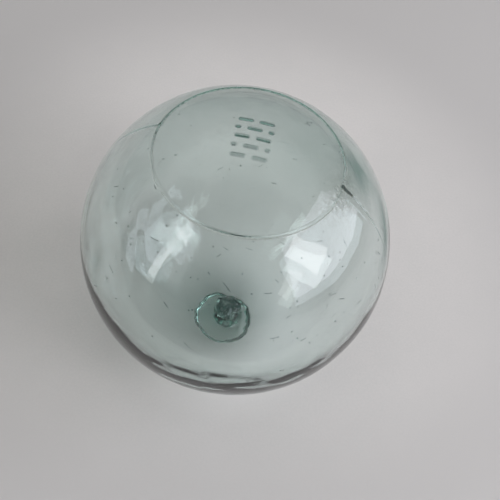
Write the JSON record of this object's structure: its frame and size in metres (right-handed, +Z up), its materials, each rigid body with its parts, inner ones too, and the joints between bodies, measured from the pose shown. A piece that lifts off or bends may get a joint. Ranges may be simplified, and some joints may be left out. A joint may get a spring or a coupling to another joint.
{
  "type": "glass float ball",
  "caption": "Sealed clear green glass float ball with mould seams, a raised stroke mark on top and a flat-footed seal button it stands on.",
  "frame": {"origin": "on the surface it stands on, under the middle of the ball: the middle of the seal button's flat foot", "axes": "+Z up along the float's axis, from the seal button through the mark on the top plate; +X to the right of the picture's view, which looks along +Y and down"},
  "size_m": [0.127, 0.127, 0.1309],
  "materials": {
    "blown_glass": "clear pale sea-green blown glass, glossy, with fine scuffs and a trace of brown grime at one seam"
  },
  "bodies": {
    "root": {"glass_ball": "blown_glass", "seal_button": "blown_glass"}
  },
  "joints": []
}
